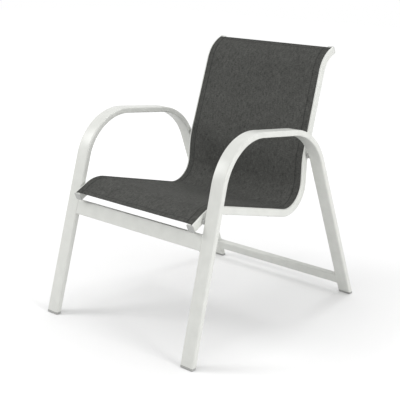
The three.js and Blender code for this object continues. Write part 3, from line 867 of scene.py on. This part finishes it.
# Fastenings. A profile point is a radius, a place along the axis and a count of flats, 0 where round.
def turned_piece(name, profile, origin, axis, look, nodes):
    across = axis.orthogonal().normalized()
    up = axis.cross(across)
    rings = []
    for radius, reach, flats in profile:
        circle = []
        for side in range(TURNED_SIDES):
            angle = 2 * math.pi * side / TURNED_SIDES
            size = radius
            if flats:
                sector = math.pi / flats
                size = radius * math.cos(sector) / math.cos((angle + sector) % (2 * sector) - sector)
            circle.append(origin + axis * reach + (across * math.cos(angle) + up * math.sin(angle)) * size)
        rings.append([circle])
    closed = profile[0] == profile[-1]
    mesh_piece(name, skinned(rings[:-1] if closed else rings, closed=closed), look, nodes)


def round_edge(radius, reach, size, way):
    """Profile points round an outer edge. way is 1 where the edge's face looks along the axis."""
    points = [(radius - inset, reach - way * short, 0) for inset, short in quarter_round(size)]
    return points if way > 0 else points[::-1]


def ring_profile(outer, low, high, size):
    return [
        (BOLT_HOLE, low, 0),
        *round_edge(outer, low, size, -1),
        *round_edge(outer, high, size, 1),
        (BOLT_HOLE, high, 0),
        (BOLT_HOLE, low, 0),
    ]


def domed(radius, height, foot, dome):
    fullness, angles = dome
    turns = [math.radians(angle) for angle in angles]
    return [(radius * math.cos(t) ** fullness, foot + height * math.sin(t), 0) for t in turns]


def fixing(end, side, way):
    """Spacer, washer, rivet nut and bolt at one fixing, on the axis that the frame's own washer has."""
    low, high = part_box(f"rail_washer_{end}_{side}")
    axis = Vector((-way * math.cos(LEAN), 0, -math.sin(LEAN)))
    washer = (RAIL_INNER + TOUCH_GAP, RAIL_INNER + TOUCH_GAP + WASHER_THICK)
    origin = (low + high) / 2 - axis * (sum(washer) / 2)
    nut_face = FRAME_INNER + TOUCH_GAP
    nut_top = nut_face + NUT_FLANGE_THICK
    nut_end = nut_face - NUT_BARREL_LENGTH
    nut = [
        (BOLT_HOLE, nut_top, 0),
        *round_edge(NUT_FLANGE_RADIUS, nut_top, STEEL_EDGE_ROUND, 1)[::-1],
        (NUT_FLANGE_RADIUS, nut_face, 0),
        (NUT_BARREL_RADIUS, nut_face, 0),
        (NUT_BARREL_RADIUS, nut_end, 0),
        (BOLT_HOLE, nut_end, 0),
        (BOLT_HOLE, nut_top, 0),
    ]
    head = washer[1] + TOUCH_GAP
    head_top = head + BOLT_HEAD_HEIGHT
    bolt = [
        (BOLT_RADIUS, BOLT_TIP, 0),
        (BOLT_RADIUS, head, 0),
        *domed(BOLT_HEAD_RADIUS, BOLT_HEAD_HEIGHT, head, BOLT_DOME),
        (BOLT_SOCKET_RIM, head_top, 0),
        (BOLT_SOCKET_RADIUS, head_top - BOLT_SOCKET_CHAMFER, BOLT_SOCKET_FLATS),
        (BOLT_SOCKET_RADIUS, head_top - BOLT_SOCKET_DEPTH, BOLT_SOCKET_FLATS),
    ]
    spacer = ring_profile(SPACER_RADIUS, nut_top + TOUCH_GAP, RAIL_OUTER - TOUCH_GAP, SPACER_ROUND)
    flat_ring = ring_profile(WASHER_RADIUS, *washer, STEEL_EDGE_ROUND)
    for kind, profile, look, replaced in (
        ("spacer", spacer, WHITE_PLASTIC, "rail_spacer"),
        ("washer", flat_ring, STEEL, "rail_washer"),
        ("rivet_nut_piece", nut, STEEL, "rivet_nut"),
        ("bolt", bolt, STEEL, "rail_bolt"),
    ):
        turned_piece(f"{kind}_{end}_{side}", profile, origin, axis, look, [f"{replaced}_{end}_{side}"])


# Spreader bars, bowed away from the sitter, with their peg screws
def spreader_stops():
    seat, back = rail_run(1), rail_run(3)
    places = {
        "seat_spreader_front": (seat, SEAT_SPREADER_SHARES[0]),
        "seat_spreader_rear": (seat, SEAT_SPREADER_SHARES[1]),
        "back_spreader": (back, BACK_SPREADER_SHARE),
    }
    stops = {}
    for name, ((start, end, along), share) in places.items():
        stops[name] = Stop(start.lerp(end, share), along)
    return stops


def spreader_bar(name, stop):
    knee = GRIP_X - SPREADER_FLAT
    floor = knee - SPREADER_BOW_RUN
    half = [Vector((floor, -SPREADER_BOW)), Vector((knee, 0)), Vector((GRIP_X - TOUCH_GAP, 0))]
    corners = [Vector((-p.x, p.y)) for p in reversed(half)] + half
    path = bent_line(corners, [SPREADER_BEND_RADIUS] * 4, SPREADER_RUN_STEP)
    outlines = tube_outlines(SPREADER_WIDE, SPREADER_THICK, SPREADER_CORNER, SPREADER_WALL)

    def place(wide, spot):
        return across_rails(spot.x, stop.beside(spot.y - BOLT_DEPTH) + stop.along * wide)

    mesh_piece(f"{name}_bar", skinned(rings_along(outlines, path, place)), POWDER_COAT, [name])


def peg_screw(name, stop, side, way):
    rail_middle = (RAIL_OUTER + RAIL_INNER) / 2
    place = inwards(way)
    origin = place(rail_middle, stop.beside(-RAIL_DEEP))
    axis = (place(rail_middle, stop.beside(-RAIL_DEEP - 1)) - origin).normalized()
    top = TOUCH_GAP + SCREW_HEAD_HEIGHT
    screw = [
        (SCREW_RADIUS, -SCREW_REACH, 0),
        (SCREW_RADIUS, TOUCH_GAP, 0),
        *domed(SCREW_HEAD_RADIUS, SCREW_HEAD_HEIGHT, TOUCH_GAP, SCREW_DOME),
        (SCREW_RECESS_RIM, top, 0),
        (SCREW_RECESS_RADIUS, top - SCREW_RECESS_CHAMFER, SCREW_RECESS_FLATS),
        (SCREW_RECESS_FLOOR, top - SCREW_RECESS_DEPTH, SCREW_RECESS_FLATS),
    ]
    turned_piece(f"{name}_fixing_{side}", screw, origin, axis, STEEL, [f"{name}_screw_{side}"])


# Cross rails, and the weld beads round their ends
def side_face(height):
    """How far from the middle the side frame's inner face stands at this height above the floor."""
    up_the_side = (height + FRAME_INNER * math.sin(LEAN)) / math.cos(LEAN)
    return SIDE_X - FRAME_INNER * math.cos(LEAN) - up_the_side * math.sin(LEAN)


def cross_place(leg, height, thick, deep):
    """A point of a cross rail's outline, in the chair's middle plane."""
    foot, up = LEGS[leg]
    spot = foot + up * (height / up.y + deep) + left_of(up) * thick
    return Vector((0, spot.x - FOOT_MIDDLE, spot.y))


def cross_rail(leg, height, deep):
    outlines = tube_outlines(CROSS_THICK, deep, TUBE_CORNER, TUBE_WALL)
    middle = [[cross_place(leg, height, p.x, p.y) for p in outline] for outline in outlines]
    rings = []
    for share in (-1, -0.5, 0, 0.5, 1):
        rings.append([[Vector((share * (side_face(p.z) - TOUCH_GAP), p.y, p.z)) for p in outline]
                      for outline in middle])
    mesh_piece(f"cross_rail_{leg}", skinned(rings), POWDER_COAT, [f"{leg}_cross_rail"])
    for side, way in SIDES.items():
        weld_bead(leg, height, deep, side, way)


def weld_bead(leg, height, deep, side, way):
    """A rippled bead round the rail's end, deeper on the flush faces, where the leg's corner rounds away."""
    outline = centred_outline(CROSS_THICK, deep, TUBE_CORNER)
    closed = outline + outline[:1]
    lengths = [(b - a).length for a, b in zip(closed, closed[1:])]
    ripples = round(sum(lengths) / BEAD_RIPPLE)
    samples = ripples * BEAD_SAMPLES
    sideways = Vector((way, 0, 0))
    rings = []
    for sample in range(samples):
        left = sum(lengths) * sample / samples
        index = 0
        while left > lengths[index]:
            left -= lengths[index]
            index += 1
        normal = -left_of((closed[index + 1] - closed[index]).normalized())
        sunk = BEAD_SUNK * abs(normal.x) - BEAD_PROUD * abs(normal.y)
        spot = closed[index].lerp(closed[index + 1], left / lengths[index]) - normal * sunk
        centre = cross_place(leg, height, spot.x, spot.y)
        outwards = (cross_place(leg, height, spot.x + normal.x, spot.y + normal.y) - centre).normalized()
        centre.x = way * (side_face(centre.z) + sunk)
        radius = BEAD_RADIUS * (1 + BEAD_RIPPLE_SHARE * math.cos(2 * math.pi * ripples * sample / samples))
        ring = []
        for turn in range(BEAD_SIDES):
            angle = 2 * math.pi * turn / BEAD_SIDES
            ring.append(centre + (outwards * math.cos(angle) + sideways * math.sin(angle)) * radius)
        rings.append([ring])
    mesh_piece(f"weld_{leg}_{side}", skinned(rings, closed=True), POWDER_COAT, [], sharp=BEAD_SHARP_ANGLE)


# The sling: one sheet, doubled at its hems, with a loop round the spline in each rail
def cloth_stop(distance):
    stops = CLOTH_STOPS
    index = next((i for i, stop in enumerate(stops) if stop.distance >= distance), len(stops) - 1)
    after = stops[max(index, 1)]
    before = stops[max(index, 1) - 1]
    share = (distance - before.distance) / (after.distance - before.distance)
    along = before.along.lerp(after.along, share).normalized()
    return Stop(before.point.lerp(after.point, share), along, distance)


def smooth_step(value):
    value = max(0.0, min(1.0, value))
    return value * value * (3 - 2 * value)


def bend_at(distance):
    """How far the line turns towards the sitter round a place, in radians, over a reach each way."""
    before = cloth_stop(max(0.0, distance - BEND_REACH)).along
    after = cloth_stop(min(CLOTH_LENGTH, distance + BEND_REACH)).along
    return turn_between(before, after)


def cloth_lift(x, distance):
    """How far the sheet stands off the rails' line: sag, bridging of the bends, wander and puckers."""
    inner = 1 - min(1.0, abs(x) / GRIP_X) ** 2
    from_end = min(distance, CLOTH_LENGTH - distance)
    slack = END_SAG_SHARE + (1 - END_SAG_SHARE) * smooth_step(from_end / END_SAG_REACH)
    flat = max(0.0, cloth_stop(distance).along.x) ** 2
    sag = SEAT_SAG * (UPRIGHT_SAG_SHARE + (1 - UPRIGHT_SAG_SHARE) * flat)
    lift = inner * slack * (BEND_BRIDGE * bend_at(distance) - sag)
    spot = Vector((x * WANDER_SCALE, distance * WANDER_SCALE, WANDER_LAYER))
    wander = noise.noise(spot) * WANDER_HEIGHT * inner
    near = math.exp(-((abs(x) - SIDE_SEAM) / PUCKER_REACH) ** 2)
    spot = Vector((math.copysign(PUCKER_DRIFT_LAYER, x), distance * PUCKER_DRIFT_SCALE, 0))
    phase = noise.noise(spot) * PUCKER_DRIFT
    pucker = PUCKER_HEIGHT * near * math.sin(2 * math.pi * distance / PUCKER_LENGTH + phase)
    return lift + wander + pucker


def cloth_outline():
    """The sheet cut across: its top, a loop round each spline, and the hems folded back under it."""
    turn = math.degrees(math.asin(NECK_HALF / HEM_LOOP_OUTER))
    under = CLOTH_TOP - HEM_THICK
    thin = CLOTH_TOP - CLOTH_THICK
    hem_edge = HEM_X - SIDE_HEM
    columns = CLOTH_COLUMNS
    top = [Vector((-CLOTH_HALF + 2 * CLOTH_HALF * i / columns, CLOTH_TOP)) for i in range(columns + 1)]
    right = [
        *arc((CLOTH_HALF, CLOTH_TOP - CLOTH_SHOULDER), CLOTH_SHOULDER, 90, 0, SHOULDER_STEPS)[1:],
        *arc((HEM_X, -BORE_DEPTH), HEM_LOOP_OUTER, 90 - turn, turn - 270, LOOP_STEPS),
        *arc((HEM_X - NECK_HALF - HEM_FILLET, under - HEM_FILLET), HEM_FILLET, 0, 90, LIP_STEPS),
        Vector((HEM_X - SIDE_HEM / 3, under)),
        Vector((HEM_X - SIDE_HEM * 2 / 3, under)),
        Vector((hem_edge + HEM_EDGE_ROUND, under)),
        Vector((hem_edge + HEM_EDGE_ROUND / 3, under + HEM_EDGE_ROUND * 2 / 3)),
        Vector((hem_edge, thin)),
    ]
    left = [Vector((-p.x, p.y)) for p in reversed(right)]
    columns = CLOTH_UNDER_COLUMNS
    bottom = [Vector((hem_edge - 2 * hem_edge * i / columns, thin)) for i in range(1, columns)]
    return top + right + bottom + left


def cloth_point(p, stop, thinning):
    spot = p.copy()
    from_end = min(stop.distance, CLOTH_LENGTH - stop.distance)
    middle = CLOTH_TOP - HEM_THICK / 2
    if spot.y > -SLOT_LIP:
        if spot.y < middle and abs(spot.x) < GRIP_X - HEM_GRIP_MARGIN:
            hem = smooth_step((END_HEM - from_end) / (2 * HEM_EDGE_ROUND))
            spot.y -= (spot.y - (CLOTH_TOP - HEM_THICK)) * hem
        spot.y = middle + (spot.y - middle) * thinning
    lift = cloth_lift(spot.x, stop.distance) if abs(spot.x) < GRIP_X else 0.0
    return across_rails(spot.x, stop.beside(spot.y + lift))


def cloth_stations():
    """The line's stops, with closer ones at the hems' edges and round both ends, where it thins out."""
    near_end = [(distance, 1.0) for distance in (END_HEM - HEM_EDGE_ROUND, END_HEM, END_HEM + HEM_EDGE_ROUND)]
    for angle in NOSE_ANGLES:
        turn = math.radians(angle)
        near_end.append((HEM_THICK / 2 * (1 - math.cos(turn)), math.sin(turn)))
    stations = [(stop, 1.0) for stop in CLOTH_STOPS[1:-1]]
    for distance, thinning in near_end:
        stations.append((cloth_stop(distance), thinning))
        stations.append((cloth_stop(CLOTH_LENGTH - distance), thinning))
    return sorted(stations, key=lambda station: station[0].distance)


def sheet_uvs(outlines, distances, cap_faces):
    """Places on the flat sheet, in metres, for the corners of its faces and of its two end caps."""
    uvs = []
    for low, high in zip(distances, distances[1:]):
        for outline in outlines:
            place = 0.0
            for a, start in enumerate(outline):
                end = place + (outline[(a + 1) % len(outline)] - start).length
                uvs.append([(place, low), (end, low), (end, high), (place, high)])
                place = end
    flat = [p for outline in outlines for p in outline]
    for distance in (distances[0], distances[-1]):
        for face in cap_faces:
            uvs.append([(flat[index].x, distance + flat[index].y) for index in face])
    return uvs


def sling_cloth():
    spline_hole = arc((HEM_X, -BORE_DEPTH), HEM_LOOP_INNER, 0, 360, LOOP_STEPS)[:-1]
    outlines = [cloth_outline(), spline_hole, [Vector((-p.x, p.y)) for p in spline_hole]]
    stations = cloth_stations()
    rings = [[[cloth_point(p, stop, thinning) for p in outline] for outline in outlines]
             for stop, thinning in stations]
    vertices, faces = skinned(rings, caps=False)
    caps = tessellate_polygon([[Vector((p.x, p.y, 0)) for p in outline] for outline in outlines])
    last = len(vertices) - sum(len(outline) for outline in outlines)
    for start in (0, last):
        faces.extend(tuple(start + index for index in face) for face in caps)
    uvs = sheet_uvs(outlines, [stop.distance for stop, _ in stations], caps)
    cloth = mesh_piece("sling_sheet", (vertices, faces), CLOTH, ["sling"], corner_uvs=uvs)
    thread = sling_stitching()


def stitch(x, distance, facing, across):
    """One stitch lying on the sheet: facing is 1 on the sitter's side and -1 underneath."""
    rings = []
    face = CLOTH_TOP if facing > 0 else CLOTH_TOP - HEM_THICK
    for share in STITCH_SHARES:
        reach = share * STITCH_LENGTH / 2
        along_x, along_d = (reach, 0.0) if across else (0.0, reach)
        stop = cloth_stop(distance + along_d)
        dip = abs(share) ** 3
        rise = face + facing * (STITCH_PROUD - STITCH_DIP * dip) + cloth_lift(x + along_x, stop.distance)
        size = STITCH_RADIUS * (1 - STITCH_TAPER * dip)
        ring = []
        for turn in range(STITCH_SIDES):
            angle = 2 * math.pi * turn / STITCH_SIDES
            side, up = size * math.cos(angle), size * math.sin(angle)
            if across:
                ring.append(across_rails(x + along_x, stop.beside(rise + up) + stop.along * side))
            else:
                ring.append(across_rails(x + side, stop.beside(rise + up)))
        rings.append([ring])
    return skinned(rings)


def sling_stitching():
    stitches = []
    for facing in (1, -1):
        along = math.floor((CLOTH_LENGTH - 2 * STITCH_PITCH) / STITCH_PITCH)
        for way in SIDES.values():
            for count in range(along):
                stitches.append(stitch(way * SIDE_SEAM, STITCH_PITCH * (count + 1.5), facing, False))
        run = 2 * SIDE_SEAM
        across = math.floor(run / STITCH_PITCH)
        for distance in (END_SEAM, CLOTH_LENGTH - END_SEAM):
            for count in range(across):
                x = -SIDE_SEAM + run * (count + 0.5) / across
                stitches.append(stitch(x, distance, facing, True))
    return mesh_piece("sling_stitching", joined_shapes(stitches), THREAD, [])


# What stays hidden inside the rails keeps its own solid
def finish_hidden_pegs():
    for name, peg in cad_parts.items():
        if "_peg_" in name:
            peg.data.materials.clear()
            peg.data.materials.append(GREY_PLASTIC[0])


for side, way in SIDES.items():
    side_frame(side, way)
    sling_rail(side, way)
    sling_spline(side, way)
    for leg in LEGS:
        foot_glide(leg, side, way)
        fixing(leg, side, way)
    for end in ("front", "top"):
        rail_plug(end, side, way)
cross_rail("front", FRONT_CROSS_HEIGHT, FRONT_CROSS_DEEP)
cross_rail("rear", REAR_CROSS_HEIGHT, REAR_CROSS_DEEP)
for name, stop in spreader_stops().items():
    spreader_bar(name, stop)
    for side, way in SIDES.items():
        peg_screw(name, stop, side, way)
sling_cloth()
finish_hidden_pegs()


# Floor, light and camera
def seen_plainly(tree):
    """1 for the eye and for reflections, and 0 for light on its way to a surface."""
    path = node(tree, "ShaderNodeLightPath").outputs
    return calculator(tree)("MAXIMUM", path["Is Camera Ray"], path["Is Glossy Ray"])


def stage_floor():
    mesh = bpy.data.meshes.new("studio_floor")
    corners = [(x * FLOOR_REACH, y * FLOOR_REACH, 0) for x, y in ((-1, -1), (1, -1), (1, 1), (-1, 1))]
    mesh.from_pydata(corners, [], [(0, 1, 2, 3)])
    floor = new_object("studio_floor", mesh)
    material, tree, shader = surface("pale_floor")
    wire(tree, (FLOOR_PALE, FLOOR_PALE, FLOOR_PALE, 1), shader["Base Color"])
    wire(tree, 0.9, shader["Roughness"])
    wire(tree, 0.0, shader["Specular IOR Level"])
    away = node(tree, "ShaderNodeVectorMath", operation="LENGTH")
    wire(tree, object_place(tree), away.inputs[0])
    lift = ranged(tree, away.outputs["Value"], 0.0, FLOOR_LIFT, FLOOR_LIFT_RUN)
    wire(tree, (1, 1, 1, 1), shader["Emission Color"])
    wire(tree, calculator(tree)("MULTIPLY", seen_plainly(tree), lift), shader["Emission Strength"])
    mesh.materials.append(material)


def studio_world():
    world = bpy.data.worlds.new("studio")
    world.use_nodes = True
    bpy.context.scene.world = world
    tree = world.node_tree
    background = tree.nodes["Background"].inputs
    wire(tree, (1, 1, 1, 1), background["Color"])
    wire(tree, ranged(tree, seen_plainly(tree), WORLD_LIGHT, 1.0), background["Strength"])


def soft_light(name, around, height, power, size=1.2):
    """A round lamp aimed at the chair's middle, at degrees round from the chair's front and degrees up."""
    turn, up = math.radians(around), math.radians(height)
    away = Vector((math.sin(turn) * math.cos(up), -math.cos(turn) * math.cos(up), math.sin(up)))
    lamp = bpy.data.lights.new(name, "AREA")
    lamp.shape = "DISK"
    lamp.size = size
    lamp.energy = power
    light = new_object(name, lamp)
    light.location = LAMP_AIM + away * LAMP_AWAY
    light.rotation_mode = "QUATERNION"
    light.rotation_quaternion = (-away).to_track_quat("-Z", "Y")
    light.visible_camera = False


def seen_from():
    data = bpy.data.cameras.new("camera")
    data.sensor_width = CAMERA_SENSOR
    data.lens = CAMERA_LENS
    camera = new_object("camera", data)
    camera.matrix_world = (
        Matrix.Translation(CAMERA_PLACE)
        @ Matrix.Rotation(math.radians(CAMERA_YAW), 4, "Z")
        @ Matrix.Rotation(math.radians(90 - CAMERA_PITCH), 4, "X")
        @ Matrix.Rotation(math.radians(CAMERA_ROLL), 4, "Z")
    )
    bpy.context.scene.camera = camera


stage_floor()
studio_world()
soft_light("side_lamp", 82, 19, 37.2)
soft_light("front_lamp", 313, 34, 30.8)
soft_light("top_lamp", 0, 90, 9.0)
soft_light("back_lamp", 180, 68, 8.0, size=0.5)
seen_from()
bpy.context.scene.view_settings.view_transform = "Standard"
